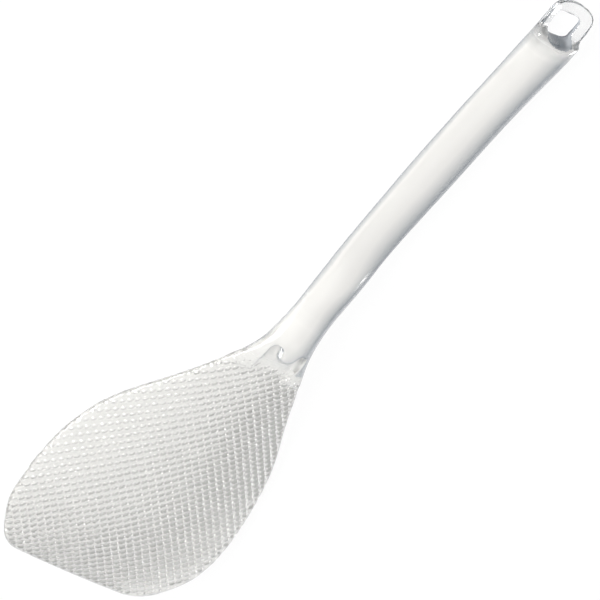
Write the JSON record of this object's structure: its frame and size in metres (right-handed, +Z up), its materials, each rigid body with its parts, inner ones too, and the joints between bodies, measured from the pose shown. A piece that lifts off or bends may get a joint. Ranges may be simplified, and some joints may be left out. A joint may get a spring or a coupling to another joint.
{
  "type": "rice paddle",
  "caption": "Clear plastic rice paddle with a dished, embossed blade, a rounded grip on a keel, and a thin hanging tab with a squarish eye.",
  "frame": {"origin": "middle of the footprint, on the table that the paddle lies on, food face down", "axes": "+X across the blade, +Y from the blade's front edge to the hanging tab, +Z up, out of the round underside"},
  "size_m": [0.0718, 0.2298, 0.0131],
  "materials": {
    "blade_plastic": "clear plastic with an embossed face",
    "grip_plastic": "clear plastic, softly polished",
    "tab_plastic": "clear plastic, polished"
  },
  "bodies": {
    "root": {"blade": "blade_plastic", "neck": "grip_plastic", "grip_top": "grip_plastic", "keel": "grip_plastic", "hanging_tab": "tab_plastic"}
  },
  "joints": []
}
